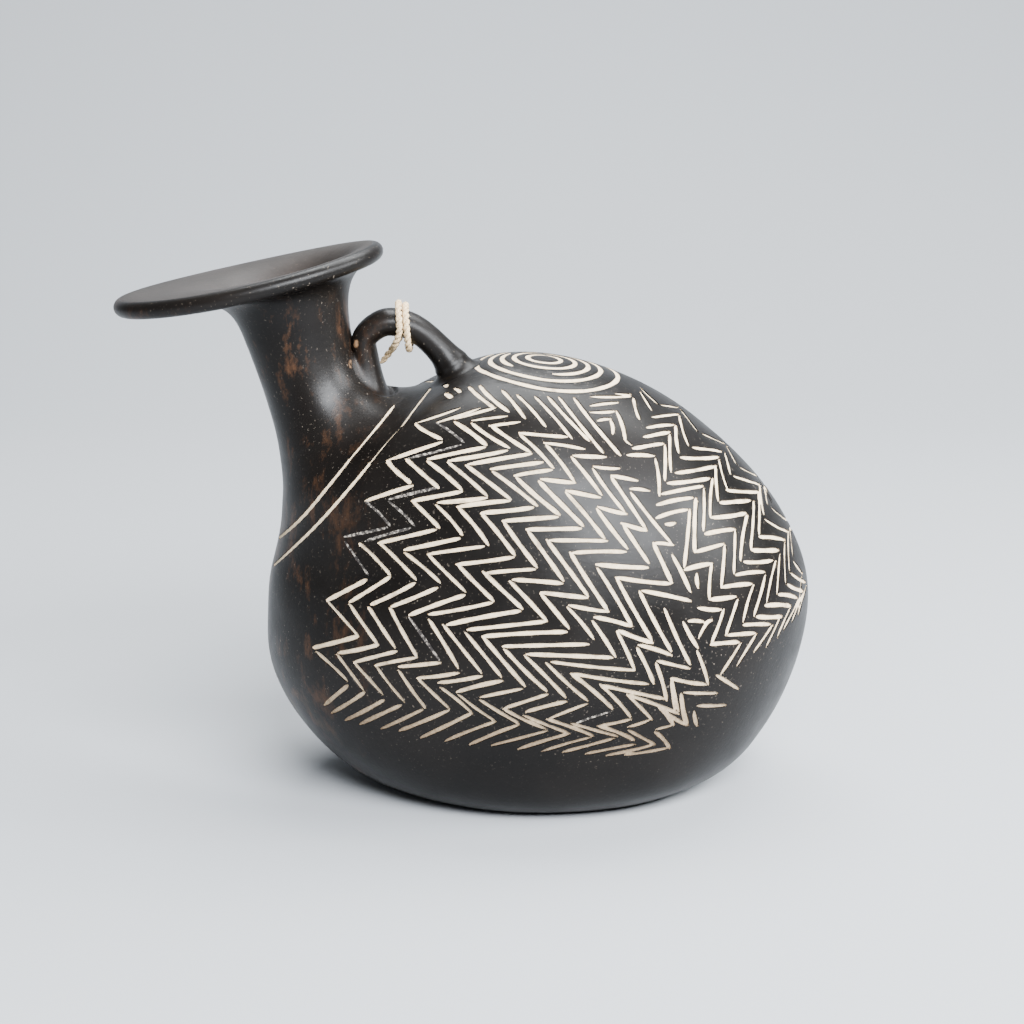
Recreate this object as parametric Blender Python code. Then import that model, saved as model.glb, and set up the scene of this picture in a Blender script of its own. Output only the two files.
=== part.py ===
"""Askos: a hollow burnished clay flask with a domed, off-centre body, a slanting neck, a wide tilted
mouth plate and a small loop handle that has a length of jute twine tied round it.

The front of the flask, its breast and mouth, points along -X, its tail along +X, and the origin is
the middle of the flat underside. Units are metres."""

import math

import bmesh
import bpy
import numpy as np

# Sizes of the flask
BODY_LENGTH = 0.190
BODY_HEIGHT = 0.150
BODY_WIDTH = 0.138
BASE_LENGTH = 0.100
BASE_WIDTH = 0.088
WALL = 0.005
RIM_LENGTH = 0.0945
RIM_WIDTH = 0.0700
RIM_THICKNESS = 0.0060
RIM_SAG = 0.0012
RIM_TILT = math.radians(12.25)

# Sizes of the loop handle
HANDLE_THICKNESS = 0.0094
HANDLE_WIDTH = 0.0104
HANDLE_WIDTH_AT_NECK = 0.0145

# Sizes of the twine: its gap to the handle, the gap between its turns, how far they hang below the
# handle, how far the first one leans towards the neck, and the tail that hangs from the knot
TWINE_DIAMETER = 0.0019
TWINE_GAP = 0.0005
TURN_GAP = 0.0005
TWINE_SLACK = 0.0018
TWINE_LEAN = 0.0030
KNOT_SIZE = 0.0046
TAIL_DROP = 0.0130
TAIL_DRIFT = 0.0085

# The body as a fan of slices, level at the base and steeper towards the neck. Each row is one slice:
# how far forward its front lies and how high, how far back its back lies and how high, its half
# width, and how much fuller it is at the back. The shares are of BODY_LENGTH, BODY_HEIGHT and
# BODY_WIDTH. The base is the slice before them.
SLICES = (
    (-0.370, 0.040, 0.359, 0.057, 0.406, 0.03),
    (-0.460, 0.147, 0.435, 0.190, 0.462, 0.06),
    (-0.512, 0.280, 0.477, 0.350, 0.500, 0.08),
    (-0.517, 0.390, 0.479, 0.503, 0.500, 0.10),
    (-0.513, 0.470, 0.421, 0.663, 0.471, 0.12),
    (-0.504, 0.525, 0.308, 0.820, 0.428, 0.13),
    (-0.495, 0.573, 0.152, 0.949, 0.378, 0.12),
    (-0.488, 0.622, -0.013, 1.004, 0.322, 0.08),
    (-0.485, 0.668, -0.135, 0.983, 0.264, 0.00),
    (-0.484, 0.722, -0.222, 0.930, 0.215, -0.04),
    (-0.493, 0.815, -0.300, 0.936, 0.168, -0.04),
    (-0.515, 0.925, -0.343, 0.997, 0.140, -0.02),
    (-0.546, 1.040, -0.356, 1.077, 0.134, 0.00),
)

# The mouth plate: the middle of its underside, and how tightly the neck flares into it at the front
# and at the back
RIM_AT = (-0.534, 1.162)
TIGHT_AT_FRONT = 0.88
TIGHT_AT_BACK = 0.68

# The handle's centreline between its roots, as shares of BODY_LENGTH and BODY_HEIGHT, each with its
# thickness as a share of HANDLE_THICKNESS. The roots sit on the back of the flask, at these places
# along the fan of slices.
HANDLE_ROUTE = (
    (-0.330, 1.013, 0.95),
    (-0.329, 1.046, 0.94),
    (-0.308, 1.072, 0.98),
    (-0.283, 1.082, 1.02),
    (-0.245, 1.071, 1.00),
    (-0.209, 1.037, 1.00),
    (-0.183, 1.001, 1.14),
)
NECK_ROOT = (11.80, 1.12)
DOME_ROOT = (9.32, 1.50)

# How deep in the wall the handle starts, as a share of WALL, and how far it stands out of the wall
# before it bends, as a share of its thickness
ROOT_DEPTH = 0.55
ROOT_RISE = 1 / 6

# Where along the handle the twine hangs, how low the knot sits as a share of the handle's half
# height, where round the handle the turns leave the knot, and how the tail curves as it drops
TWINE_AT = 0.58
KNOT_DROP = 0.5
TURNS_LEAVE = 0.2
TAIL_CURVE = 0.8

# How finely the shapes are divided
AROUND = 40
PER_SLICE = 3
FLARE_STEPS = 7
LIP_STEPS = 4
PER_HANDLE_POINT = 3
HANDLE_ROUND_STEPS = 4
TURN_POINTS = 16
TWINE_ROUND_STEPS = 2
TAIL_STEPS = 4
PER_TAIL_POINT = 3
ROOT_STEPS = 100
SHARP_EDGE = math.radians(50)
WELD = 0.00001


def smooth(points, per):
    """A smooth curve through the points: a natural cubic spline with this many steps between them."""
    values = np.asarray(points, float)
    count = len(values)
    matrix = np.identity(count)
    right = np.zeros_like(values)
    for i in range(1, count - 1):
        matrix[i, i - 1 : i + 2] = (1, 4, 1)
        right[i] = 6 * (values[i + 1] - 2 * values[i] + values[i - 1])
    bend = np.linalg.solve(matrix, right)
    along = np.linspace(0, count - 1, (count - 1) * per + 1)
    low = np.minimum(along.astype(int), count - 2)
    after = (along - low)[:, None]
    before = 1 - after
    curve = before * values[low] + after * values[low + 1]
    curve += ((before**3 - before) * bend[low] + (after**3 - after) * bend[low + 1]) / 6
    return curve


def unit(vectors):
    return vectors / np.linalg.norm(vectors, axis=-1, keepdims=True)


def slice_sizes():
    """Every slice from the base to the top of the neck, in metres."""
    base = (-BASE_LENGTH / 2, 0, BASE_LENGTH / 2, 0, BASE_WIDTH / 2, 0)
    scale = (BODY_LENGTH, BODY_HEIGHT, BODY_LENGTH, BODY_HEIGHT, BODY_WIDTH, 1)
    return np.vstack([base, np.array(SLICES) * scale])


def ring_of(row, turn):
    """The closed outline of one slice, an egg round the line from its front to its back."""
    front_x, front_z, back_x, back_z, half_width, egg = row
    back_share = (1 + np.cos(turn)) / 2
    x = front_x + (back_x - front_x) * back_share
    z = front_z + (back_z - front_z) * back_share
    y = half_width * np.sin(turn) * (1 + egg * np.cos(turn))
    return np.stack([x, y, z], axis=-1)


def rim_axes():
    """The plate's direction towards the back, and the direction it faces."""
    along = np.array([math.cos(RIM_TILT), 0, math.sin(RIM_TILT)])
    facing = np.array([-math.sin(RIM_TILT), 0, math.cos(RIM_TILT)])
    return along, facing


def flare_rings(neck, below, turn):
    """Rings that carry the neck out into the edge of the mouth plate, and the plate's outward way."""
    along, facing = rim_axes()
    across = np.array([0, 1, 0])
    middle = np.array([RIM_AT[0] * BODY_LENGTH, 0, RIM_AT[1] * BODY_HEIGHT])
    half_length = (RIM_LENGTH - RIM_THICKNESS) / 2
    half_width = (RIM_WIDTH - RIM_THICKNESS) / 2
    cosine = np.cos(turn)[:, None]
    sine = np.sin(turn)[:, None]
    edge = middle + half_length * cosine * along + half_width * sine * across
    edge = edge - RIM_SAG * sine**2 * facing
    outward = unit(half_width * cosine * along + half_length * sine * across)
    rising = unit(neck - below)
    to_plate = ((middle - neck) @ facing) / (rising @ facing)
    corner = neck + rising * to_plate[:, None]
    tightness = TIGHT_AT_FRONT + (TIGHT_AT_BACK - TIGHT_AT_FRONT) * (1 + cosine) / 2
    first = neck + (corner - neck) * tightness
    second = edge + (corner - edge) * tightness
    rings = []
    for share in np.linspace(0, 1, FLARE_STEPS + 1)[1:]:
        left = 1 - share
        ring = left**3 * neck + 3 * left**2 * share * first
        ring = ring + 3 * left * share**2 * second + share**3 * edge
        rings.append(ring)
    return np.array(rings), outward


def outer_rings(turn):
    rows = smooth(slice_sizes(), PER_SLICE)
    body = np.array([ring_of(row, turn) for row in rows])
    flare, outward = flare_rings(body[-1], body[-2], turn)
    return np.concatenate([body, flare]), outward


def normals_of(rings):
    """The outward direction at each point of the rings."""
    up = np.gradient(rings, axis=0)
    round_way = np.roll(rings, -1, axis=1) - np.roll(rings, 1, axis=1)
    return unit(np.cross(round_way, up))


def lip_rings(edge, outward):
    """The half-round edge of the mouth plate."""
    facing = rim_axes()[1]
    radius = RIM_THICKNESS / 2
    middle = edge + facing * radius
    rings = []
    for angle in np.linspace(0, math.pi, LIP_STEPS + 1)[1:-1]:
        rings.append(middle + (outward * math.sin(angle) - facing * math.cos(angle)) * radius)
    return np.array(rings)


def collection_named(name):
    collection = bpy.data.collections.new(name)
    bpy.context.scene.collection.children.link(collection)
    return collection


def material_named(name, colour, roughness):
    material = bpy.data.materials.new(name)
    material.use_nodes = True
    shader = material.node_tree.nodes["Principled BSDF"]
    shader.inputs["Base Color"].default_value = (*colour, 1)
    shader.inputs["Roughness"].default_value = roughness
    return material


def place(mesh, name, collection, material=None):
    thing = bpy.data.objects.new(name, mesh)
    collection.objects.link(thing)
    if material:
        mesh.materials.append(material)
    mesh.shade_smooth()
    mesh.set_sharp_from_angle(angle=SHARP_EDGE)
    return thing


def lofted(name, rings):
    """A closed mesh through the rings in turn, with a flat face on the first and the last."""
    count = rings.shape[1]
    faces = []
    for level in range(len(rings) - 1):
        for place_round in range(count):
            here = level * count + place_round
            beside = level * count + (place_round + 1) % count
            faces.append((here, beside, beside + count, here + count))
    faces.append(tuple(reversed(range(count))))
    faces.append(tuple(range((len(rings) - 1) * count, len(rings) * count)))
    mesh = bpy.data.meshes.new(name)
    mesh.from_pydata(rings.reshape(-1, 3).tolist(), [], faces)
    return mesh


def swept(name, points, thickness, round_steps, radii=None, width_at=None):
    """A closed tube along the points, as a mesh. width_at gives a width across Y for each X."""
    curve = bpy.data.curves.new(name, "CURVE")
    curve.dimensions = "3D"
    curve.bevel_depth = thickness / 2
    curve.bevel_resolution = round_steps
    curve.use_fill_caps = True
    line = curve.splines.new("POLY")
    line.points.add(len(points) - 1)
    for number, point in enumerate(points):
        line.points[number].co = (*point, 1)
        if radii is not None:
            line.points[number].radius = radii[number]
    guide = bpy.data.objects.new(name, curve)
    bpy.context.scene.collection.objects.link(guide)
    graph = bpy.context.evaluated_depsgraph_get()
    mesh = bpy.data.meshes.new_from_object(guide.evaluated_get(graph))
    bpy.data.objects.remove(guide)
    shape = bmesh.new()
    shape.from_mesh(mesh)
    bmesh.ops.remove_doubles(shape, verts=shape.verts, dist=WELD)
    if width_at is not None:
        for corner in shape.verts:
            corner.co.y *= width_at(corner.co.x) / thickness
    shape.to_mesh(mesh)
    shape.free()
    return mesh


def join(target, tool, crosses_itself=False):
    """A Boolean union that keeps both shapes editable."""
    tool.hide_render = True
    tool.display_type = "WIRE"
    union = target.modifiers.new(f"join {tool.name}", "BOOLEAN")
    union.operation = "UNION"
    union.solver = "EXACT"
    union.use_self = crosses_itself
    union.object = tool


def root_point(place_along, depth):
    """A point on the line of the flask's back, this deep under its surface, and the way out of it."""
    rows = smooth(slice_sizes(), ROOT_STEPS)
    backs = rows[:, 2:4]
    number = round(place_along * ROOT_STEPS)
    way = unit(backs[number + 1] - backs[number - 1])
    out = np.array([way[1], 0, -way[0]])
    at = np.array([backs[number][0], 0, backs[number][1]])
    return at - out * depth, out


def handle_line():
    """The handle's centreline, from inside the neck's wall to inside the dome's, with thicknesses."""
    inside_neck, out_of_neck = root_point(NECK_ROOT[0], WALL * ROOT_DEPTH)
    inside_dome, out_of_dome = root_point(DOME_ROOT[0], WALL * ROOT_DEPTH)
    clear = WALL * ROOT_DEPTH + HANDLE_THICKNESS * ROOT_RISE
    route = [(*inside_neck, NECK_ROOT[1]), (*(inside_neck + out_of_neck * clear), NECK_ROOT[1])]
    for x, z, share in HANDLE_ROUTE:
        route.append((x * BODY_LENGTH, 0, z * BODY_HEIGHT, share))
    route.append((*(inside_dome + out_of_dome * clear), DOME_ROOT[1]))
    route.append((*inside_dome, DOME_ROOT[1]))
    line = smooth(route, PER_HANDLE_POINT)
    return line[:, :3], line[:, 3]


def handle_width(x):
    """The handle's width across Y, widest where it stands on the neck."""
    neck_x = root_point(NECK_ROOT[0], 0)[0][0]
    dome_x = root_point(DOME_ROOT[0], 0)[0][0]
    share = min(max((x - neck_x) / (dome_x - neck_x), 0.0), 1.0)
    return HANDLE_WIDTH_AT_NECK + (HANDLE_WIDTH - HANDLE_WIDTH_AT_NECK) * share


def twine_frame():
    """The handle where the twine hangs on it: its middle, the way it runs, and its half height and
    half width."""
    points, shares = handle_line()
    number = round(TWINE_AT * (len(points) - 1))
    way = unit(points[number + 1] - points[number - 1])
    half_high = HANDLE_THICKNESS * shares[number] / 2
    half_wide = handle_width(points[number][0]) * shares[number] / 2
    return points[number], way, half_high, half_wide


def knot_middle():
    """The middle of the knot, low behind the handle."""
    middle, _, half_high, half_wide = twine_frame()
    behind = half_wide + TWINE_GAP + KNOT_SIZE / 2
    return middle + np.array([0, behind, -half_high * KNOT_DROP])


def twine_turns():
    """Two turns round the handle, close over its top and slack below it, from the knot to the knot.
    Each hangs upright, so it is taller than a square cut through the sloping handle."""
    middle, way, half_high, half_wide = twine_frame()
    reach = TWINE_GAP + TWINE_DIAMETER / 2
    half_drop = (half_high + reach) / way[0]
    slope = way[2] / way[0]
    pitch = TWINE_DIAMETER + TURN_GAP
    knot = knot_middle()
    beside = np.array([KNOT_SIZE / 4, 0, 0])
    points = [knot - beside]
    for angle in np.linspace(TURNS_LEAVE, 4 * math.pi - TURNS_LEAVE, 2 * TURN_POINTS):
        hanging = min(math.sin(angle), 0) ** 2
        along = (angle / (2 * math.pi) - 1) * pitch
        lean = TWINE_LEAN * hanging if angle < 2 * math.pi else 0
        y = (half_wide + reach) * math.cos(angle)
        z = along * slope + half_drop * math.sin(angle) - TWINE_SLACK * hanging
        points.append(middle + np.array([along - lean, y, z]))
    points.append(knot + beside)
    return points


def twine_tail():
    """The short end that hangs from the knot, drifting towards the neck."""
    knot = knot_middle()
    points = []
    for share in np.linspace(0, 1, TAIL_STEPS + 1):
        points.append(knot + np.array([-TAIL_DRIFT * share, 0, -TAIL_DROP * share**TAIL_CURVE]))
    return smooth(points, PER_TAIL_POINT)


def build_vessel(collection, cutters):
    turn = np.arange(AROUND) * 2 * math.pi / AROUND
    outer, outward = outer_rings(turn)
    facing = rim_axes()[1]
    thickness = np.full(len(outer), WALL)
    thickness[-FLARE_STEPS:] = np.linspace(WALL, RIM_THICKNESS, FLARE_STEPS)
    inner = outer - normals_of(outer) * thickness[:, None, None]
    inner[0, :, 2] = WALL
    inner[-1] = outer[-1] + facing * RIM_THICKNESS
    rings = np.concatenate([outer, lip_rings(outer[-1], outward), inner[::-1]])
    clay = material_named("black burnished clay", (0.030, 0.026, 0.024), 0.42)
    vessel = place(lofted("vessel", rings), "vessel", collection, clay)
    points, shares = handle_line()
    loop = swept("handle", points, HANDLE_THICKNESS, HANDLE_ROUND_STEPS, shares, handle_width)
    join(vessel, place(loop, "handle", cutters))


def build_twine(collection, cutters):
    jute = material_named("jute", (0.62, 0.52, 0.38), 0.9)
    turns = swept("twine", twine_turns(), TWINE_DIAMETER, TWINE_ROUND_STEPS)
    twine = place(turns, "twine", collection, jute)
    tail = swept("twine tail", twine_tail(), TWINE_DIAMETER, TWINE_ROUND_STEPS)
    join(twine, place(tail, "twine tail", cutters), crosses_itself=True)
    knot = bpy.data.meshes.new("twine knot")
    shape = bmesh.new()
    bmesh.ops.create_uvsphere(shape, u_segments=12, v_segments=8, radius=KNOT_SIZE / 2)
    bmesh.ops.translate(shape, verts=shape.verts, vec=knot_middle())
    shape.to_mesh(knot)
    shape.free()
    join(twine, place(knot, "twine knot", cutters), crosses_itself=True)


def main():
    for thing in list(bpy.data.objects):
        bpy.data.objects.remove(thing)
    askos = collection_named("askos")
    cutters = collection_named("cutters")
    build_vessel(askos, cutters)
    build_twine(askos, cutters)


main()
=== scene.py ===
"""Looks of the askos: a hollow flask of black burnished clay, cut with zigzags that are filled
with pale paste, and two turns of jute twine on its loop handle. Units are metres."""

import math

import bpy
import numpy as np
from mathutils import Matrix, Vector, noise
from mathutils.geometry import delaunay_2d_cdt
from mathutils.kdtree import KDTree


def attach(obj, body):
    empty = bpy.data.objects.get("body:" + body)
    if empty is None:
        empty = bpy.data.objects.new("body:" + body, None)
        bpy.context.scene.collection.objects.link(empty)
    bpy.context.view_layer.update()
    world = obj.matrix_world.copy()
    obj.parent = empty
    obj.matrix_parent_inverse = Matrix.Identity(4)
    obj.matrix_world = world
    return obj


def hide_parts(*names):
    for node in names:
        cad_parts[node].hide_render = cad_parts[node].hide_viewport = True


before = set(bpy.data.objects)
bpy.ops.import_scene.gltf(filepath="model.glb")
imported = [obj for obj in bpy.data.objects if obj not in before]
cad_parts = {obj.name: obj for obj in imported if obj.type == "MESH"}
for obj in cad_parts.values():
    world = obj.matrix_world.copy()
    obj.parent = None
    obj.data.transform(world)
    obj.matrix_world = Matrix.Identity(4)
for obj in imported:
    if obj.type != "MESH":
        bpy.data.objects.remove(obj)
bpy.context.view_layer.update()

# The body and neck of the flask. Black clay, coil built, scraped to an even wall and burnished
# with a pebble before a smoky firing. Each slice across it is the part's own: front x, front z,
# back x, back z, half width and fullness, as shares of the body's sizes.
BODY_LENGTH = 0.190
BODY_HEIGHT = 0.150
BODY_WIDTH = 0.138
BASE_LENGTH = 0.100
BASE_WIDTH = 0.088
WALL = 0.005
SLICES = (
    (-0.370, 0.040, 0.359, 0.057, 0.406, 0.03),
    (-0.460, 0.147, 0.435, 0.190, 0.462, 0.06),
    (-0.512, 0.280, 0.477, 0.350, 0.500, 0.08),
    (-0.517, 0.390, 0.479, 0.503, 0.500, 0.10),
    (-0.513, 0.470, 0.421, 0.663, 0.471, 0.12),
    (-0.504, 0.525, 0.308, 0.820, 0.428, 0.13),
    (-0.495, 0.573, 0.152, 0.949, 0.378, 0.12),
    (-0.488, 0.622, -0.013, 1.004, 0.322, 0.08),
    (-0.485, 0.668, -0.135, 0.983, 0.264, 0.00),
    (-0.484, 0.722, -0.222, 0.930, 0.215, -0.04),
    (-0.493, 0.815, -0.300, 0.936, 0.168, -0.04),
    (-0.515, 0.925, -0.343, 0.997, 0.140, -0.02),
    (-0.546, 1.040, -0.356, 1.077, 0.134, 0.00),
)
TOP = len(SLICES)


def spline_through(values):
    """A natural cubic spline through rows of values at 0, 1, 2 and so on, as a function."""
    values = np.asarray(values, float)
    count = len(values)
    matrix = np.identity(count)
    right = np.zeros_like(values)
    for i in range(1, count - 1):
        matrix[i, i - 1 : i + 2] = (1, 4, 1)
        right[i] = 6 * (values[i + 1] - 2 * values[i] + values[i - 1])
    bend = np.linalg.solve(matrix, right)

    def at(along):
        along = np.clip(np.asarray(along, float), 0, count - 1)
        low = np.minimum(along.astype(int), count - 2)
        after = (along - low)[..., None]
        before = 1 - after
        line = before * values[low] + after * values[low + 1]
        return line + ((before**3 - before) * bend[low] + (after**3 - after) * bend[low + 1]) / 6

    return at


def unit(vectors):
    return vectors / np.linalg.norm(vectors, axis=-1, keepdims=True)


base_slice = (-BASE_LENGTH / 2, 0, BASE_LENGTH / 2, 0, BASE_WIDTH / 2, 0)
slice_scale = (BODY_LENGTH, BODY_HEIGHT, BODY_LENGTH, BODY_HEIGHT, BODY_WIDTH, 1)
slice_at = spline_through(np.vstack([base_slice, np.array(SLICES) * slice_scale]))


def skin(level, turn):
    """Points on the outside, where level runs up the slices, and turn is 0 at the back and pi at
    the breast."""
    row = slice_at(level)
    back_share = (1 + np.cos(turn)) / 2
    x = row[..., 0] + (row[..., 2] - row[..., 0]) * back_share
    z = row[..., 1] + (row[..., 3] - row[..., 1]) * back_share
    y = row[..., 4] * np.sin(turn) * (1 + row[..., 5] * np.cos(turn))
    return np.stack([x, y, z], axis=-1)


def slopes(level, turn):
    """How the skin moves with level and with turn."""
    step = 1e-4
    low = np.clip(level - step, 0, TOP)
    high = np.clip(level + step, 0, TOP)
    up = (skin(high, turn) - skin(low, turn)) / (high - low)[..., None]
    way = (skin(level, turn + step) - skin(level, turn - step)) / (2 * step)
    return up, way


def outward(level, turn):
    up, way = slopes(level, turn)
    return unit(np.cross(way, up))


def lengths_along(line):
    """How far along a line each of its places lies."""
    return np.append(0, np.cumsum(np.linalg.norm(np.diff(line, axis=0), axis=1)))


# The skin laid out flat, so that it can be divided: lengths up the side, and turns times a radius
fine_levels = np.linspace(0, TOP, TOP * 100 + 1)
side_lengths = lengths_along(skin(fine_levels, -math.pi / 2))
across = np.linalg.norm(skin(fine_levels, 0) - skin(fine_levels, math.pi), axis=1)
radii = (across / 2 + slice_at(fine_levels)[:, 4]) / 2


def to_flat(level, turn):
    x = np.interp(level, fine_levels, side_lengths)
    return np.stack([x, turn * np.interp(level, fine_levels, radii)], axis=-1)


def from_flat(points):
    level = np.interp(points[..., 0], side_lengths, fine_levels)
    return level, points[..., 1] / np.interp(level, fine_levels, radii)


def nearest_on_skin(wanted, level, turn):
    """Walks level and turn to where the skin comes closest to each wanted point."""
    for _ in range(8):
        up, way = slopes(level, turn)
        miss = wanted - skin(level, turn)
        uu = (up * up).sum(-1)
        ww = (way * way).sum(-1)
        uw = (up * way).sum(-1)
        mu = (miss * up).sum(-1)
        mw = (miss * way).sum(-1)
        scale = uu * ww - uw * uw
        level = np.clip(level + (mu * ww - mw * uw) / scale, 0, TOP)
        turn = turn + (mw * uu - mu * uw) / scale
    return level, turn


# The clay's colours are linear, and its other values are heights and lengths on the flask
CLAY_BLACK = (0.0028, 0.0023, 0.0020)
CLAY_CLOUDS = (0.0062, 0.0049, 0.0041)
CLAY_RUST = (0.058, 0.027, 0.013)
CLAY_SPECKS = (0.24, 0.20, 0.16)
CLAY_WORN = (0.30, 0.17, 0.09)
CLAY_ROUGHNESS = (0.30, 0.44)
CLAY_IOR = 1.26
CLAY_GRIT = 700.0
RUST_FROM_X = (-0.050, -0.085)
RUST_BELOW_Z = (0.176, 0.164)
SPECKS_FROM_Z = (0.015, 0.050)
# Where the neck and the handle's feet are worn to lighter clay: the middle and reach of each spot
WORN_SPOTS = (
    ((-0.0690, -0.0075, 0.1480), 0.0050),
    ((-0.0660, -0.0060, 0.1560), 0.0035),
    ((-0.0330, -0.0070, 0.1400), 0.0040),
)


def new_material(name):
    """A material, with its node tree and its shader."""
    material = bpy.data.materials.new(name)
    material.use_nodes = True
    return material, material.node_tree, material.node_tree.nodes["Principled BSDF"]


def add_node(tree, kind, settings=(), values=()):
    """A node with these settings and these socket values."""
    node = tree.nodes.new(kind)
    for key, value in dict(settings).items():
        setattr(node, key, value)
    for key, value in dict(values).items():
        node.inputs[key].default_value = value
    return node


def place_of(tree):
    return add_node(tree, "ShaderNodeTexCoord").outputs["Object"]


def axes_of(tree, place):
    """The X, Y and Z of a place."""
    node = add_node(tree, "ShaderNodeSeparateXYZ")
    tree.links.new(place, node.inputs[0])
    return node.outputs


def noise_at(tree, place, scale, detail=3.0, roughness=0.55):
    """Cloudy noise from 0 to 1, with this many clouds to the metre."""
    values = {"Scale": scale, "Detail": detail, "Roughness": roughness}
    node = add_node(tree, "ShaderNodeTexNoise", (), values)
    tree.links.new(place, node.inputs["Vector"])
    return node.outputs["Fac"]


def mapped(tree, value, from_low, from_high, to_low=0.0, to_high=1.0):
    """A value carried from one range to another, and held at its ends."""
    values = {"From Min": from_low, "From Max": from_high, "To Min": to_low, "To Max": to_high}
    node = add_node(tree, "ShaderNodeMapRange", (), values)
    tree.links.new(value, node.inputs["Value"])
    return node.outputs["Result"]


def mixed(tree, amount, first, second):
    """A colour between two, where each is a colour or the socket of one."""
    node = add_node(tree, "ShaderNodeMix", {"data_type": "RGBA"})
    tree.links.new(amount, node.inputs["Factor"])
    for number, value in ((6, first), (7, second)):
        if isinstance(value, tuple):
            node.inputs[number].default_value = (*value, 1)
        else:
            tree.links.new(value, node.inputs[number])
    return node.outputs[2]


def product(tree, first, second):
    """One mask times another, or times a number."""
    node = add_node(tree, "ShaderNodeMath", {"operation": "MULTIPLY", "use_clamp": True})
    for number, value in enumerate((first, second)):
        if isinstance(value, float):
            node.inputs[number].default_value = value
        else:
            tree.links.new(value, node.inputs[number])
    return node.outputs[0]


def bumped(tree, height, strength, distance):
    node = add_node(tree, "ShaderNodeBump", (), {"Strength": strength, "Distance": distance})
    tree.links.new(height, node.inputs["Height"])
    return node.outputs["Normal"]


def grit_group():
    """Fine grain and pale specks of sandy clay, for the clay and for the paste."""
    group = bpy.data.node_groups.new("grit", "ShaderNodeTree")
    for title, way in (("Scale", "INPUT"), ("Grain", "OUTPUT"), ("Specks", "OUTPUT")):
        group.interface.new_socket(title, in_out=way, socket_type="NodeSocketFloat")
    start = group.nodes.new("NodeGroupInput")
    end = group.nodes.new("NodeGroupOutput")
    place = place_of(group)
    grain = noise_at(group, place, 1.0, 4.0, 0.6)
    group.links.new(start.outputs["Scale"], grain.node.inputs["Scale"])
    group.links.new(grain, end.inputs["Grain"])
    specks = noise_at(group, place, 1150.0, 3.0, 0.6)
    group.links.new(mapped(group, specks, 0.64, 0.74), end.inputs["Specks"])
    return group


grit = grit_group()


def grit_in(tree, scale):
    """The grain, at this scale, and the specks."""
    node = add_node(tree, "ShaderNodeGroup", {"node_tree": grit}, {"Scale": scale})
    return node.outputs["Grain"], node.outputs["Specks"]


def clay_material():
    """Soot black with a soft shine, rusty down the neck and breast, and specked with sand."""
    material, tree, shader = new_material("burnished clay")
    place = place_of(tree)
    axes = axes_of(tree, place)
    grain, specks = grit_in(tree, CLAY_GRIT)
    clouds = mapped(tree, noise_at(tree, place, 26.0, 4.0), 0.35, 0.65)
    colour = mixed(tree, clouds, CLAY_BLACK, CLAY_CLOUDS)
    upright = add_node(tree, "ShaderNodeVectorMath", {"operation": "MULTIPLY"}, {1: (1, 1, 0.45)})
    tree.links.new(place, upright.inputs[0])
    rust = mapped(tree, noise_at(tree, upright.outputs[0], 95.0, 9.0, 0.74), 0.53, 0.66)
    rust = product(tree, mapped(tree, axes["X"], *RUST_FROM_X), rust)
    rust = product(tree, rust, mapped(tree, axes["Z"], *RUST_BELOW_Z))
    colour = mixed(tree, rust, colour, CLAY_RUST)
    dusty = mapped(tree, noise_at(tree, place, 34.0), 0.38, 0.62, 0.20, 0.75)
    dusty = product(tree, dusty, mapped(tree, axes["Z"], *SPECKS_FROM_Z, 0.15, 1.0))
    colour = mixed(tree, product(tree, specks, dusty), colour, CLAY_SPECKS)
    for spot, reach in WORN_SPOTS:
        away = add_node(tree, "ShaderNodeVectorMath", {"operation": "DISTANCE"}, {1: spot})
        tree.links.new(place, away.inputs[0])
        near = mapped(tree, away.outputs["Value"], reach, reach * 0.3)
        near = product(tree, near, noise_at(tree, place, 330.0, 6.0, 0.7))
        colour = mixed(tree, mapped(tree, near, 0.30, 0.48), colour, CLAY_WORN)
    tree.links.new(colour, shader.inputs["Base Color"])
    rough = mapped(tree, noise_at(tree, place, 60.0, 5.0), 0.3, 0.7, *CLAY_ROUGHNESS)
    tree.links.new(rough, shader.inputs["Roughness"])
    shader.inputs["IOR"].default_value = CLAY_IOR
    tree.links.new(bumped(tree, grain, 0.25, 0.0002), shader.inputs["Normal"])
    return material


# The grooves. Each stroke was pressed into leathery clay with a blunt tool, and packed with white
# paste after firing. Corners are read off the photo, in pixels, and cast back along the view onto
# the skin.
VIEW_DOWN = math.radians(14)
VIEW_DISTANCE = 0.8462
VIEW_TARGET = np.array([-0.012, 0, 0.095])
LENS = 85
SENSOR = 36
PHOTO_SIDE = 1024
GROOVE_WIDTH = 0.0016
GROOVE_DEPTH = 0.00040
PASTE_SHARE = 0.80
STROKE_STEP = 0.0011
WANDER = 0.00040
MIRROR_SHIFT = 0.0004
UNEVEN = 0.09
UNEVEN_EVERY = 0.0015
POINT_LENGTH = 0.0016
POINT_SHARE = 0.50
GAP_AT_CORNERS = (0.01, 0.07)
STROKE_WIDTHS = (0.86, 1.10)
FAINT_WIDTH = 0.7
FAINT_DEPTH = 0.45
END_PIXELS = 0.8
ROW_PIXELS = 1.0
MOST_ANCHORS = 5
LEAST_FACING = 0.08

view_back = np.array([0, -math.cos(VIEW_DOWN), math.sin(VIEW_DOWN)])
view_up = np.array([0, math.sin(VIEW_DOWN), math.cos(VIEW_DOWN)])
view_from = VIEW_TARGET + view_back * VIEW_DISTANCE
focal_pixels = PHOTO_SIDE * LENS / SENSOR
chance = np.random.default_rng(11)


def pixels_of(points):
    from_eye = points - view_from
    away = -(from_eye @ view_back)
    x = PHOTO_SIDE / 2 + focal_pixels * from_eye[..., 0] / away
    y = PHOTO_SIDE / 2 - focal_pixels * (from_eye @ view_up) / away
    return np.stack([x, y], axis=-1)


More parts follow.
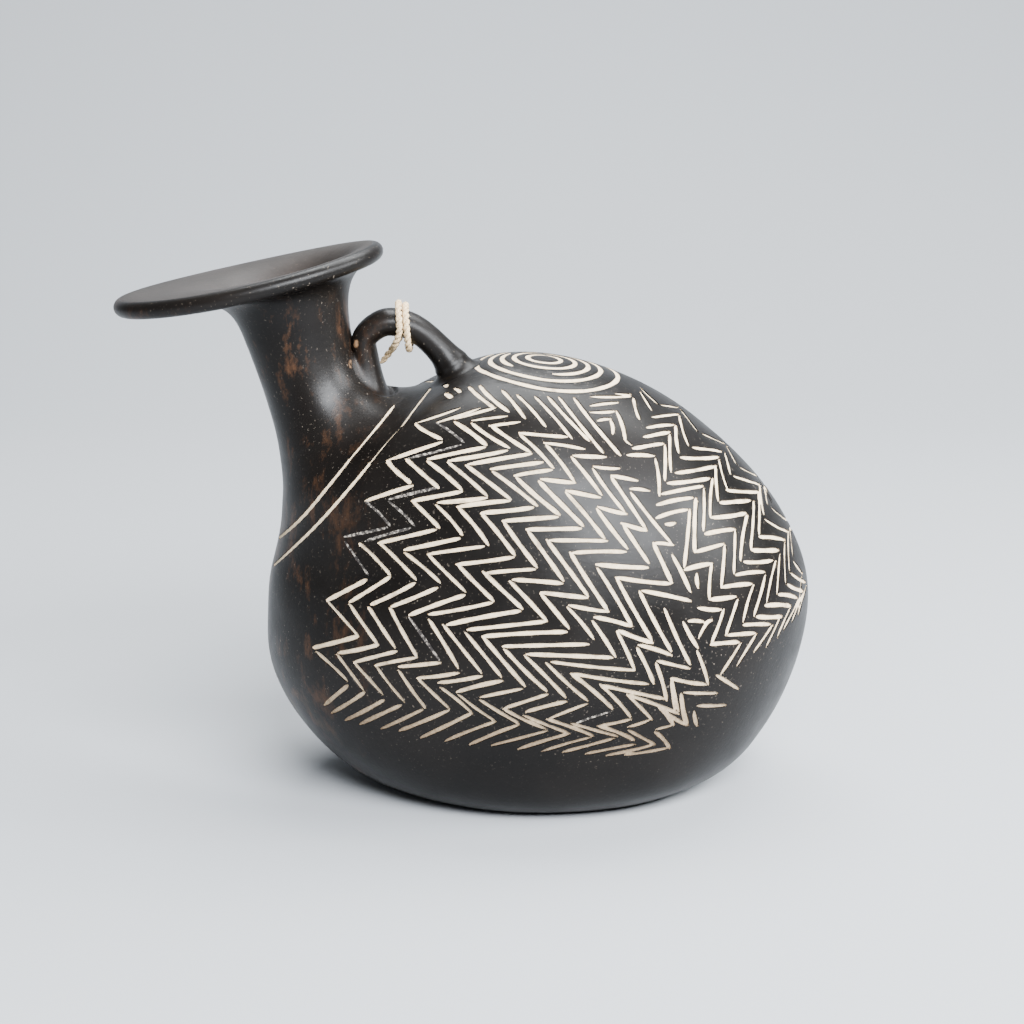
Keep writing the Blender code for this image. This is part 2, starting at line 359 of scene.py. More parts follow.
def seeds_by(levels, turns, seen_as):
    """A finder of the level and turn of the sample whose value is closest to a wanted pair."""
    tree = KDTree(len(seen_as))
    for number, pair in enumerate(seen_as):
        tree.insert((*pair, 0), number)
    tree.balance()

    def find(wanted):
        found = [tree.find((*pair, 0))[1] for pair in wanted]
        return levels[found], turns[found]

    return find


def solve(seen, find, wanted):
    """The level and turn at which seen() gives each wanted pair."""
    level, turn = find(wanted)
    step = 1e-4
    for _ in range(8):
        here = seen(level, turn)
        by_level = (seen(level + step, turn) - here) / step
        by_turn = (seen(level, turn + step) - here) / step
        miss = wanted - here
        scale = by_level[:, 0] * by_turn[:, 1] - by_level[:, 1] * by_turn[:, 0]
        scale = np.where(np.abs(scale) < 1e-9, 1e-9, scale)
        move_level = (miss[:, 0] * by_turn[:, 1] - miss[:, 1] * by_turn[:, 0]) / scale
        move_turn = (by_level[:, 0] * miss[:, 1] - by_level[:, 1] * miss[:, 0]) / scale
        level = np.clip(level + np.clip(move_level, -0.2, 0.2), 0.02, TOP - 0.02)
        turn = turn + np.clip(move_turn, -0.1, 0.1)
    return level, turn


# A net of samples over the side that the photo shows, to start each search from
grid_level, grid_turn = np.meshgrid(np.linspace(0.1, TOP - 0.1, 130), np.linspace(-3.1, 0.3, 120))
grid_level = grid_level.ravel()
grid_turn = grid_turn.ravel()
grid_points = skin(grid_level, grid_turn)
to_eye = unit(view_from - grid_points)
facing_eye = (outward(grid_level, grid_turn) * to_eye).sum(-1) > LEAST_FACING
find_pixel = seeds_by(
    grid_level[facing_eye], grid_turn[facing_eye], pixels_of(grid_points[facing_eye])
)


def seen_in_photo(level, turn):
    return pixels_of(skin(level, turn))


def from_photo(pixels):
    """Flat places of photo pixels."""
    pixels = np.asarray(pixels, float).reshape(-1, 2)
    return to_flat(*solve(seen_in_photo, find_pixel, pixels))


def evenly(line, count):
    """A line with this many evenly spaced places, and how far along it each lies."""
    lengths = lengths_along(line)
    even = np.linspace(0, lengths[-1], count)
    axes = [np.interp(even, lengths, values) for values in line.T]
    return np.stack(axes, axis=-1), even


strokes = []


def add_stroke(places, width, depth=1.0, wander=WANDER, sides=(1, -1)):
    """Keeps one groove through these flat places, drawn by an unsteady hand, on each side asked
    for: 1 is the side that the photo shows, and -1 the far side, a little shifted."""
    for mirror in sides:
        line = np.array(places) * (1, mirror)
        if mirror < 0:
            line = line + chance.normal(0, MIRROR_SHIFT, 2)
        count = max(3, round(lengths_along(line)[-1] / STROKE_STEP) + 1)
        path, even = evenly(line, count)
        if wander > 0:
            sway = math.sin(chance.uniform(-1, 1)) * wander
            bow = np.sin(np.linspace(0, math.pi, count)) * sway
            ahead = unit(path[-1] - path[0])
            path = path + bow[:, None] * np.array([-ahead[1], ahead[0]])
        sizes = width / 2 * (1 + UNEVEN * np.sin(even / UNEVEN_EVERY + chance.uniform(0, 6)))
        ends = np.clip(np.minimum(even, even[-1] - even) / POINT_LENGTH, 0, 1)
        sizes = sizes * (POINT_SHARE + (1 - POINT_SHARE) * np.sqrt(ends))
        strokes.append({"path": path, "sizes": sizes, "depth": depth})


def stroke_between(start, end, faint=False, thick=1.0):
    """A stroke between two pixels, a little short of both. A faint one has lost its paste."""
    start = start + chance.normal(0, END_PIXELS, 2)
    ahead = end + chance.normal(0, END_PIXELS, 2) - start
    begin = chance.uniform(*GAP_AT_CORNERS)
    stop = 1 - chance.uniform(*GAP_AT_CORNERS)
    places = from_photo(start + np.linspace(begin, stop, 7)[:, None] * ahead)
    width = GROOVE_WIDTH * chance.uniform(*STROKE_WIDTHS) * thick
    if faint:
        add_stroke(places, width * FAINT_WIDTH, FAINT_DEPTH)
    else:
        add_stroke(places, width)


def corners_along(anchors, count):
    """This many corners of a row, on a smooth line through the anchors' columns and pixels. A row
    with many anchors runs straight from each one to the next."""
    anchors = np.array(anchors, float)
    columns = np.arange(count)
    middle = anchors[:, 0].mean()
    found = []
    for axis in (1, 2):
        if len(anchors) > MOST_ANCHORS:
            found.append(np.interp(columns, anchors[:, 0], anchors[:, axis]))
        else:
            order = min(3, len(anchors) - 1)
            fit = np.polyfit(anchors[:, 0] - middle, anchors[:, axis], order)
            found.append(np.polyval(fit, columns - middle))
    return (np.array(found) + chance.normal(0, ROW_PIXELS, (2, count))).T


# Rows of corners in the front panel, top to bottom: each anchor is a column number and a pixel
FRONT_ROWS = (
    ((0, 460, 407), (2, 495, 409), (4, 522, 421), (6, 566, 438), (8, 607, 458), (11, 651, 491)),
    ((0, 417, 423), (2, 453, 420), (4, 490, 424), (6, 517, 431), (8, 572, 456), (11, 630, 488)),
    ((0, 442, 440), (4, 532, 453), (5, 544, 462), (6, 552, 468), (8, 602, 498), (11, 674, 545)),
    ((0, 387, 458), (4, 467, 464), (8, 566, 491), (11, 653, 542)),
    ((0, 414, 486), (4, 513, 500), (8, 607, 539), (12, 693, 600)),
    ((0, 363, 500), (4, 457, 508), (8, 548, 540), (13, 662, 607)),
    ((0, 390, 526), (4, 489, 546), (8, 587, 597), (13, 692, 668)),
    ((0, 343, 540), (4, 425, 556), (8, 543, 592), (12, 635, 645), (15, 682, 693)),
    ((0, 370, 578), (4, 463, 594), (8, 579, 630), (12, 648, 687), (15, 689, 726)),
    ((0, 327, 601), (4, 405, 608), (8, 483, 645), (12, 568, 667), (15, 659, 709)),
    ((0, 359, 638), (4, 438, 661), (8, 528, 694), (12, 610, 706), (15, 674, 727)),
    ((0, 314, 650), (4, 392, 668), (8, 484, 703), (12, 567, 720), (15, 656, 731)),
    ((0, 348, 685), (4, 429, 702), (8, 518, 732), (12, 620, 734), (15, 671, 749)),
    ((0, 322, 707), (4, 381, 728), (8, 464, 748), (12, 565, 750), (15, 622, 756)),
)
# Rows of the tail panel, top to bottom, at the left and right ends of its flat strokes by turns
TAIL_ROWS = (
    ((0, 660, 405), (3, 640, 438), (5, 627, 456)),
    ((0, 681, 409), (3, 671, 431), (5, 655, 454)),
    ((0, 701, 433), (4, 664, 483), (7, 655, 517)),
    ((0, 725, 443), (4, 711, 475), (7, 687, 510)),
    ((0, 739, 467), (4, 711, 518), (7, 684, 571)),
    ((0, 761, 479), (4, 747, 513), (7, 711, 563)),
    ((0, 770, 505), (4, 742, 563), (8, 700, 609)),
    ((0, 787, 519), (4, 775, 561), (8, 723, 608)),
    ((0, 793, 560), (4, 767, 606), (8, 710, 645)),
    ((0, 802, 575), (4, 792, 606), (8, 741, 644)),
    ((0, 800, 612), (4, 777, 639), (8, 722, 676)),
)
# The rings on the dome: radius, where the middle lies along the body, and the degrees where each
# begins and ends, seen from above and counted from the tail towards the far side
RING_MIDDLE_Y = -0.0040
RINGS = (
    (0.0057, -0.0009, -275, 85),
    (0.0105, -0.0008, -265, 95),
    (0.0148, -0.0006, -215, -140),
    (0.0148, -0.0006, -80, 100),
    (0.0190, -0.0005, -280, 80),
    (0.0243, 0.0001, -260, 100),
)
RING_THICK = 1.25
RING_DEPTH = 0.25
DOME_LEVELS = (4, 9.2)
DOME_FACING = 0.3
# Slanting strokes under the rings, from their upper to their lower ends
UNDER_RINGS = (
    ((467, 385), (495, 408)),
    ((480, 385), (511, 413)),
    ((502, 391), (525, 419)),
    ((518, 393), (547, 430)),
    ((533, 394), (573, 439)),
    ((546, 394), (590, 443)),
    ((557, 395), (606, 455)),
    ((571, 395), (624, 457)),
)
# The two long lines down the neck and breast, in parts, and how thick each part is
NECK_LINE_DEPTH = 0.8
NECK_LINES = (
    (((394, 405), (376, 428), (350, 459)), 0.75),
    (((350, 459), (325, 490), (300, 519), (277, 539)), 0.95),
    (((437, 380), (420, 401), (402, 426)), 0.95),
    (((402, 426), (389, 440), (370, 463)), 0.45),
    (((370, 463), (351, 486), (317, 524), (274, 565)), 0.85),
)
# Loose strokes between the panels, each through its corners
LOOSE_STROKES = (
    ((589, 397), (633, 397), (641, 419)),
    ((589, 404), (619, 403)),
    ((590, 412), (617, 410), (625, 439), (631, 446)),
    ((597, 419), (611, 418), (612, 435)),
    ((615, 393), (631, 392)),
    ((641, 387), (660, 405)),
    ((641, 391), (653, 411)),
    ((672, 554), (692, 594)),
    ((664, 524), (677, 522)),
    ((696, 574), (697, 588)),
    ((690, 621), (704, 622), (712, 619), (700, 638)),
    ((720, 693), (682, 693), (689, 726)),
    ((696, 705), (727, 706)),
    ((694, 710), (698, 727)),
    ((683, 622), (699, 649), (710, 686), (671, 679), (677, 712)),
    ((716, 674), (738, 690)),
)
CHIPS = (((441, 385), (447, 387)), ((455, 388), (460, 391)), ((444, 394), (450, 396)))
CHIP_THICK = 1.25
# Strokes of the front panel that have lost their paste, by column and gap between rows
FAINT_STROKES = ((1, 1), (1, 2), (1, 4), (1, 5), (0, 5), (0, 6), (1, 6), (0, 7), (4, 9), (12, 10))
# The column numbered 5 starts lower down than the rest, with no strokes in the top two gaps
MISSING_STROKES = ((5, 0), (5, 1))


def zigzags(rows, count, faint=(), missing=()):
    """Strokes down each column, from corner to corner of the rows that reach it."""
    corners = [corners_along(row, round(row[-1][0]) + 1) for row in rows]
    for column in range(count):
        for number, (upper, lower) in enumerate(zip(corners, corners[1:])):
            if (column, number) in missing:
                continue
            if column < len(upper) and column < len(lower):
                stroke_between(upper[column], lower[column], (column, number) in faint)


zigzags(FRONT_ROWS, 16, FAINT_STROKES, MISSING_STROKES)
for line in UNDER_RINGS:
    stroke_between(*np.array(line))
zigzags(TAIL_ROWS, 9)
for line in LOOSE_STROKES:
    for start, end in zip(line, line[1:]):
        stroke_between(start, end)
for line in CHIPS:
    stroke_between(*line, thick=CHIP_THICK)
for line, thick in NECK_LINES:
    curve = spline_through(line)(np.linspace(0, len(line) - 1, 30))
    add_stroke(from_photo(curve), GROOVE_WIDTH * thick, NECK_LINE_DEPTH, 0)

on_top = outward(grid_level, grid_turn)[:, 2] > DOME_FACING
on_top &= (grid_level > DOME_LEVELS[0]) & (grid_level < DOME_LEVELS[1])
find_plan = seeds_by(grid_level[on_top], grid_turn[on_top], grid_points[on_top][:, :2])


def seen_from_above(level, turn):
    return skin(level, turn)[:, :2]


for radius, middle_x, start, end in RINGS:
    angles = np.radians(np.linspace(start, end, 91))
    ring = np.stack([np.cos(angles), np.sin(angles)], axis=-1) * radius + (middle_x, RING_MIDDLE_Y)
    camera_side = np.where(ring[:, 1] > 0, -1.0, 1.0)
    ring[:, 1] *= camera_side
    level, turn = solve(seen_from_above, find_plan, ring)
    add_stroke(to_flat(level, turn * camera_side), GROOVE_WIDTH * RING_THICK, RING_DEPTH, 0, (1,))


def metric_at(places):
    """Lengths on the skin for steps across the flat layout, as a 2 x 2 table for each place."""
    step = 1e-5
    here = [skin(*from_flat(places + np.array(shift))) for shift in ((step, 0), (-step, 0))]
    there = [skin(*from_flat(places + np.array(shift))) for shift in ((0, step), (0, -step))]
    along = (here[0] - here[1]) / (2 * step)
    over = (there[0] - there[1]) / (2 * step)
    table = np.empty((len(places), 2, 2))
    table[:, 0, 0] = (along * along).sum(-1)
    table[:, 0, 1] = (along * over).sum(-1)
    table[:, 1, 0] = table[:, 0, 1]
    table[:, 1, 1] = (over * over).sum(-1)
    return table


def outline_of(path, sizes, share):
    """The closed outline of a groove at this share of its half width, with round ends."""
    table = metric_at(path)
    ahead = np.gradient(path, axis=0)
    ahead /= np.sqrt(np.einsum("ni,nij,nj->n", ahead, table, ahead))[:, None]
    turned = np.einsum("nij,nj->ni", table, ahead)
    beside = np.stack([-turned[:, 1], turned[:, 0]], axis=-1)
    beside /= np.sqrt(np.einsum("ni,nij,nj->n", beside, table, beside))[:, None]
    width = (sizes * share)[:, None]
    left = path + beside * width
    right = path - beside * width
    angles = np.linspace(0, math.pi, 5)[1:-1, None]
    tip = path[-1] + (beside[-1] * np.cos(angles) + ahead[-1] * np.sin(angles)) * width[-1]
    tail = path[0] - (beside[0] * np.cos(angles) + ahead[0] * np.sin(angles)) * width[0]
    return np.concatenate([left, tip, right[::-1], tail])


# The paste is cream, and tan and much darker low down, partly a stain and partly painted shade
# under the body; where it fell out, a dusty groove is left
PASTE_CREAM = ((0.74, 0.55, 0.34), (0.94, 0.77, 0.53))
PASTE_TAN_AND_SHADE = ((0.16, 0.105, 0.058), (0.34, 0.245, 0.150))
PASTE_DIRT = (0.16, 0.11, 0.075)
PASTE_GRIT = 1100.0
TAN_AND_SHADE_BELOW_Z = (0.070, 0.034)
GROOVE_BLACK = (0.022, 0.018, 0.016)
GROOVE_DUST = (0.42, 0.37, 0.31)


def paste_material():
    material, tree, shader = new_material("white paste")
    place = place_of(tree)
    grain, _ = grit_in(tree, PASTE_GRIT)
    grainy = mapped(tree, grain, 0.3, 0.7)
    cream = mixed(tree, grainy, *PASTE_CREAM)
    # Low down the paste is mixed towards a dark tan: partly a stain, partly painted shade
    tan_and_shade = mixed(tree, grainy, *PASTE_TAN_AND_SHADE)
    colour = mixed(tree, mapped(tree, axes_of(tree, place)["Z"], *TAN_AND_SHADE_BELOW_Z), cream, tan_and_shade)
    dirt = mapped(tree, noise_at(tree, place, 220.0, 4.0), 0.58, 0.70)
    colour = mixed(tree, product(tree, dirt, 0.5), colour, PASTE_DIRT)
    tree.links.new(colour, shader.inputs["Base Color"])
    shader.inputs["Roughness"].default_value = 0.9
    tree.links.new(bumped(tree, grain, 0.4, 0.0003), shader.inputs["Normal"])
    return material


def dusty_material():
    material, tree, shader = new_material("dusty groove")
    dust = mapped(tree, noise_at(tree, place_of(tree), 900.0, 5.0, 0.7), 0.48, 0.62)
    tree.links.new(mixed(tree, dust, GROOVE_BLACK, GROOVE_DUST), shader.inputs["Base Color"])
    shader.inputs["Roughness"].default_value = 0.8
    return material


# The loop handle. A strap of the same clay, bent into a small loop between the neck and the top of
# the body and smoothed into both with a wet finger. The route is the part's: x, z and thickness
# share.
HANDLE_THICKNESS = 0.0094
HANDLE_WIDTH = 0.0104
HANDLE_WIDTH_AT_NECK = 0.0145
HANDLE_ROUTE = (
    (-0.330, 1.013, 0.95),
    (-0.329, 1.046, 0.94),
    (-0.308, 1.072, 0.98),
    (-0.283, 1.082, 1.02),
    (-0.245, 1.071, 1.00),
    (-0.209, 1.037, 1.00),
    (-0.183, 1.001, 1.14),
)
NECK_ROOT = (11.80, 1.12)
DOME_ROOT = (9.32, 1.50)
ROOT_DEPTH = 0.55
FILLET_TIGHTNESS = 0.62
FILLET = 0.0034
LOOP_FILLET = 0.0052
HANDLE_AROUND = 40
HANDLE_STEPS = 8
FILLET_STEPS = 12


def root_of(level, depth):
    at = skin(level, 0.0)
    out = outward(np.array([level]), np.array([0.0]))[0]
    return at - out * depth, out


def handle_line(per):
    """The strap's middle line from foot to foot, this many places to each part of its route, and
    the share of its thickness at each place."""
    inside_neck, out_of_neck = root_of(NECK_ROOT[0], WALL * ROOT_DEPTH)
    inside_dome, out_of_dome = root_of(DOME_ROOT[0], WALL * ROOT_DEPTH)
    clear = WALL * ROOT_DEPTH + HANDLE_THICKNESS / 6
    route = [(*inside_neck, NECK_ROOT[1]), (*(inside_neck + out_of_neck * clear), NECK_ROOT[1])]
    for x, z, share in HANDLE_ROUTE:
        route.append((x * BODY_LENGTH, 0, z * BODY_HEIGHT, share))
    route.append((*(inside_dome + out_of_dome * clear), DOME_ROOT[1]))
    route.append((*inside_dome, DOME_ROOT[1]))
    line = spline_through(route)(np.linspace(0, len(route) - 1, (len(route) - 1) * per + 1))
    return line[:, :3], line[:, 3]


def handle_width(x):
    neck_x = skin(NECK_ROOT[0], 0.0)[0]
    dome_x = skin(DOME_ROOT[0], 0.0)[0]
    share = np.clip((x - neck_x) / (dome_x - neck_x), 0, 1)
    return HANDLE_WIDTH_AT_NECK + (HANDLE_WIDTH - HANDLE_WIDTH_AT_NECK) * share


handle_middles, handle_shares = handle_line(HANDLE_STEPS)
handle_ways = unit(np.gradient(handle_middles, axis=0))
handle_turn = np.arange(HANDLE_AROUND) * 2 * math.pi / HANDLE_AROUND
handle_rings = []
for middle, share, way in zip(handle_middles, handle_shares, handle_ways):
    over = np.array([-way[2], 0, way[0]])
    high = HANDLE_THICKNESS * share / 2
    wide = handle_width(middle[0]) * share / 2
    ring = middle + high * np.cos(handle_turn)[:, None] * over
    ring = ring + wide * np.sin(handle_turn)[:, None] * np.array([0, 1, 0])
    handle_rings.append(ring)
handle_rings = np.array(handle_rings)


def landing(level, ring, leaving, loop_way):
    """Where the handle's foot meets the skin, and flat places all round it, a fillet's width
    outside, and further out on the side that faces the middle of the loop."""
    at, out = root_of(level, 0)
    drop = ((ring - at) @ out) / (leaving @ out)
    foot = ring - drop[:, None] * leaving
    away = unit(foot - foot.mean(axis=0))
    to_loop = np.clip(away @ loop_way, 0, 1)[:, None]
    wanted = foot + away * (FILLET + (LOOP_FILLET - FILLET) * to_loop)
    levels, turns = nearest_on_skin(wanted, np.full(len(ring), level), np.zeros(len(ring)))
    return foot, to_flat(levels, turns)


# The rings at which the strap is cut for its feet, and where the neck's fillet runs into it
NECK_CUT = 2 * HANDLE_STEPS - 2
NECK_MERGED = NECK_CUT + 4
DOME_CUT = len(handle_rings) - 1 - (2 * HANDLE_STEPS - 4)
to_dome = unit(skin(DOME_ROOT[0], 0.0) - skin(NECK_ROOT[0], 0.0))
neck_foot, neck_landing = landing(
    NECK_ROOT[0], handle_rings[NECK_CUT], handle_ways[NECK_CUT], to_dome
)
dome_foot, dome_landing = landing(
    DOME_ROOT[0], handle_rings[DOME_CUT], -handle_ways[DOME_CUT], -to_dome
)

# The grooved outside of the body and neck, one skin of clay with the strokes sunk into it. It is
# cut into triangles that follow the edges of the grooves and their paste and of the handle's feet,
# so these edges stay crisp.
AROUND = 180
SKIN_STEP = 0.0024
SEAM_STEP = 0.002
CLEAR_OF_GROOVES = 1.5
CLEAR_OF_FEET = 1.12
GROOVE_BRIM = 0.97
GROOVE_FLOOR = PASTE_SHARE + 0.03
PASTE_REACH = PASTE_SHARE + 0.04
DENT = 0.00022
DENTS_PER_METRE = 38
SMALL_DENTS_PER_METRE = 95
SMALL_DENTS = 0.4
EDGE_FADE = 0.5
FOOT_REACH = 0.011
FOOT_FADE = 0.006
# The flask's materials, by their places in its list
CLAY, PASTE, DUSTY, DULL = range(4)


def inside_polygon(points, polygon):
    """Which points lie inside a closed outline."""
    inside = np.zeros(len(points), bool)
    for first, second in zip(polygon, np.roll(polygon, -1, axis=0)):
        crosses = (first[1] > points[:, 1]) != (second[1] > points[:, 1])
        rise = second[1] - first[1]
        if rise == 0:
            continue
        at = first[0] + (points[:, 1] - first[1]) / rise * (second[0] - first[0])
        inside ^= crosses & (points[:, 0] < at)
    return inside


samples = []
for stroke in strokes:
    path = stroke["path"]
    dense = np.linspace(0, len(path) - 1, (len(path) - 1) * 3 + 1)
    spread = [np.interp(dense, np.arange(len(path)), path[:, axis]) for axis in (0, 1)]
    places = np.stack(spread, axis=-1)
    sizes = np.interp(dense, np.arange(len(path)), stroke["sizes"])
    points = skin(*from_flat(places))
    for point, size in zip(points, sizes):
        samples.append((point, size, stroke["depth"]))
sample_tree = KDTree(len(samples))
for number, sample in enumerate(samples):
    sample_tree.insert(sample[0], number)
sample_tree.balance()


def groove_near(points):
    """How far each point lies from the middle of the closest groove, as a share of that groove's
    half width, and the groove's depth."""
    shares = np.full(len(points), 9.0)
    depths = np.zeros(len(points))
    for place, point in enumerate(points):
        for _, number, distance in sample_tree.find_n(point, 4):
            share = distance / samples[number][1]
            if share < shares[place]:
                shares[place] = share
                depths[place] = samples[number][2]
    return shares, depths


cdt_points = []
cdt_edges = []


def add_loop(places):
    """Keeps a closed outline that the triangles have to follow."""
    first = len(cdt_points)
    cdt_points.extend(map(tuple, places))
    last = len(cdt_points) - 1
    cdt_edges.extend((number, number + 1) for number in range(first, last))
    cdt_edges.append((last, first))


ring_turns = np.linspace(-math.pi, math.pi, AROUND + 1)
seam_lengths = np.linspace(0, side_lengths[-1], round(side_lengths[-1] / SEAM_STEP) + 1)
seam_levels = np.interp(seam_lengths, side_lengths, fine_levels)
bottom_row = to_flat(np.zeros(AROUND + 1), ring_turns)
top_row = to_flat(np.full(AROUND + 1, float(TOP)), ring_turns)
left_seam = to_flat(seam_levels, np.full(len(seam_levels), -math.pi))
right_seam = to_flat(seam_levels, np.full(len(seam_levels), math.pi))
border = np.concatenate([bottom_row, right_seam[1:-1], top_row[::-1], left_seam[1:-1][::-1]])
add_loop(border)
add_loop(neck_landing)
add_loop(dome_landing)
for stroke in strokes:
    for share in (1.0, PASTE_SHARE):
        add_loop(outline_of(stroke["path"], stroke["sizes"], share))

rows = []
row_step = SKIN_STEP * math.sqrt(3) / 2
for number in range(1, math.ceil(side_lengths[-1] / row_step)):
    x = number * row_step
    reach = math.pi * np.interp(x, side_lengths, radii)
    ys = np.arange(-reach, reach, SKIN_STEP) + (number % 2) * SKIN_STEP / 2
    clear = (reach - np.abs(ys) > SKIN_STEP / 2) & (side_lengths[-1] - x > SKIN_STEP / 3)
    rows.append(np.stack([np.full(clear.sum(), x), ys[clear]], axis=-1))
filling = np.concatenate(rows)
shares, _ = groove_near(skin(*from_flat(filling)))
filling = filling[shares > CLEAR_OF_GROOVES]
for place in (neck_landing, dome_landing):
    middle = place.mean(axis=0)
    filling = filling[~inside_polygon(filling, middle + (place - middle) * CLEAR_OF_FEET)]
cdt_points.extend(map(tuple, filling))

flat_corners, _, flat_faces, _, _, _ = delaunay_2d_cdt(
    [Vector(place) for place in cdt_points], cdt_edges, [], 1, 1e-7, False
)
flat_corners = np.array([tuple(corner) for corner in flat_corners])
flat_faces = np.array([tuple(face) for face in flat_faces])
centres = flat_corners[flat_faces].mean(axis=1)
holes = inside_polygon(centres, neck_landing) | inside_polygon(centres, dome_landing)
holes |= np.abs(from_flat(centres)[1]) > math.pi
flat_faces = flat_faces[~holes]
centres = centres[~holes]
skin_level, skin_turn = from_flat(flat_corners)
skin_points = skin(skin_level, skin_turn)
skin_ways = outward(skin_level, skin_turn)
shares, depths = groove_near(skin_points)
slope = np.clip((GROOVE_BRIM - shares) / (GROOVE_BRIM - GROOVE_FLOOR), 0, 1)
sunk = slope * depths * GROOVE_DEPTH
# The hand's shallow dents fade out at the underside, the top of the neck and the handle's feet
fade = np.clip(np.minimum(skin_level, TOP - skin_level) / EDGE_FADE, 0, 1)
for place in (neck_landing, dome_landing):
    away = np.linalg.norm(skin_points - skin(*from_flat(place)).mean(axis=0), axis=1)
    fade *= np.clip((away - FOOT_REACH) / FOOT_FADE, 0, 1)
dents = []
for point in map(Vector, skin_points):
    small = SMALL_DENTS * noise.noise(point * SMALL_DENTS_PER_METRE)
    dents.append(noise.noise(point * DENTS_PER_METRE) + small)
skin_points = skin_points + skin_ways * (np.array(dents) * fade * DENT - sunk)[:, None]
centre_shares, centre_depths = groove_near(skin(*from_flat(centres)))
filling_kind = np.where(np.isclose(centre_depths, FAINT_DEPTH), DUSTY, PASTE)
filled_with = np.where(centre_shares < PASTE_REACH, filling_kind, CLAY)

# The mouth plate and the inside. The neck is opened out over the fingers into a wide tilted plate
# with a rounded lip. The wall is one thickness all over, and the plate's upper face is left dull.
RIM_LENGTH = 0.0945
RIM_WIDTH = 0.0700
RIM_THICKNESS = 0.0060
RIM_SAG = 0.0012
RIM_TILT = math.radians(12.25)
RIM_AT = (-0.534, 1.162)
# How far down the slices the way that the neck rises in is taken
RISING_STEP = 1 / 3
TIGHT_AT_FRONT = 0.88
TIGHT_AT_BACK = 0.68
FLARE_STEPS = 22
LIP_STEPS = 10
INSIDE_STEPS = 44
BASE_RINGS = 10
HUB_SHARE = 0.02

pieces = []


def quads_between(rings):
    """The faces between closed rings of points, by the numbers of their corners."""
    numbers = np.arange(rings.shape[0] * rings.shape[1]).reshape(rings.shape[:2])
    here = numbers[:-1]
    above = numbers[1:]
    corners = [here, np.roll(here, -1, axis=1), np.roll(above, -1, axis=1), above]
    return np.stack(corners, axis=-1).reshape(-1, 4)


def add_grid(rings, inside_out=False, material=CLAY):
    """Keeps the faces between rings of points."""
    rings = np.asarray(rings)
    quads = quads_between(rings)
    if inside_out:
        quads = quads[:, ::-1]
    pieces.append((rings.reshape(-1, 3), quads, np.full(len(quads), material)))


ring_turn = np.linspace(-math.pi, math.pi, AROUND + 1)[:-1]
plate_along = np.array([math.cos(RIM_TILT), 0, math.sin(RIM_TILT)])
plate_facing = np.array([-math.sin(RIM_TILT), 0, math.cos(RIM_TILT)])
plate_middle = np.array([RIM_AT[0] * BODY_LENGTH, 0, RIM_AT[1] * BODY_HEIGHT])
half_length = (RIM_LENGTH - RIM_THICKNESS) / 2
half_width = (RIM_WIDTH - RIM_THICKNESS) / 2
cosine = np.cos(ring_turn)[:, None]
sine = np.sin(ring_turn)[:, None]
plate_across = np.array([0, 1, 0])
neck_top = skin(np.full(AROUND, float(TOP)), ring_turn)
below_top = skin(np.full(AROUND, TOP - RISING_STEP), ring_turn)
edge = plate_middle + half_length * cosine * plate_along + half_width * sine * plate_across
edge = edge - RIM_SAG * sine**2 * plate_facing
edge_out = unit(half_width * cosine * plate_along + half_length * sine * plate_across)
rising = unit(neck_top - below_top)
to_plate = ((plate_middle - neck_top) @ plate_facing) / (rising @ plate_facing)
corner = neck_top + rising * to_plate[:, None]
tightness = TIGHT_AT_FRONT + (TIGHT_AT_BACK - TIGHT_AT_FRONT) * (1 + cosine) / 2


def between(start, bend, end, tightness, steps):
    """Rings on a smooth bend from start to end that aims at the bend from both sides."""
    first = start + (bend - start) * tightness
    second = end + (bend - end) * tightness
    rings = []
    for share in np.linspace(0, 1, steps + 1):
        left = 1 - share
        ring = left**3 * start + 3 * left**2 * share * first
        rings.append(ring + 3 * left * share**2 * second + share**3 * end)
    return np.array(rings)


flare = between(neck_top, corner, edge, tightness, FLARE_STEPS)
add_grid(flare)
lip = [edge]
for angle in np.linspace(0, math.pi, LIP_STEPS + 1)[1:]:
    swing = edge_out * math.sin(angle) - plate_facing * math.cos(angle)
    lip.append(edge + (plate_facing + swing) * RIM_THICKNESS / 2)
add_grid(lip)
inside_levels = np.linspace(0, TOP, INSIDE_STEPS + 1)
wall_rings = np.array([skin(np.full(AROUND, level), ring_turn) for level in inside_levels])
outside = np.concatenate([wall_rings, flare[1:]])
up = np.gradient(outside, axis=0)
round_way = np.roll(outside, -1, axis=1) - np.roll(outside, 1, axis=1)
thickness = np.full(len(outside), WALL)
thickness[-FLARE_STEPS:] = np.linspace(WALL, RIM_THICKNESS, FLARE_STEPS)
inside = outside - unit(np.cross(round_way, up)) * thickness[:, None, None]
inside[0, :, 2] = WALL
inside[-1] = edge + plate_facing * RIM_THICKNESS
# The inside is black as far as the foot of the plate, and dull over its upper face
add_grid(inside[: -FLARE_STEPS + 2], inside_out=True)
add_grid(inside[-FLARE_STEPS + 1 :], inside_out=True, material=DULL)
# The underside and the floor inside, whose rings shrink to a small face in the middle
for ring, upwards in ((wall_rings[0], False), (inside[0], True)):
    middle = ring.mean(axis=0)
    shares = np.linspace(1, HUB_SHARE, BASE_RINGS)
    discs = [middle + (ring - middle) * share for share in shares]
    add_grid(discs, inside_out=not upwards)
    hub = tuple(range(AROUND))
    pieces.append((discs[-1], [hub if upwards else hub[::-1]], [CLAY]))

# The handle's skin, and the fillets at its feet
skin_neck = skin(*from_flat(neck_landing))
skin_dome = skin(*from_flat(dome_landing))
neck_end = handle_rings[NECK_MERGED]
dome_end = handle_rings[DOME_CUT]
neck_fillet = between(skin_neck, neck_foot, neck_end, FILLET_TIGHTNESS, FILLET_STEPS)
dome_fillet = between(skin_dome, dome_foot, dome_end, FILLET_TIGHTNESS, FILLET_STEPS)
strap = handle_rings[NECK_MERGED + 1 : DOME_CUT]
add_grid(np.concatenate([neck_fillet, strap, dome_fillet[::-1]]), inside_out=True)

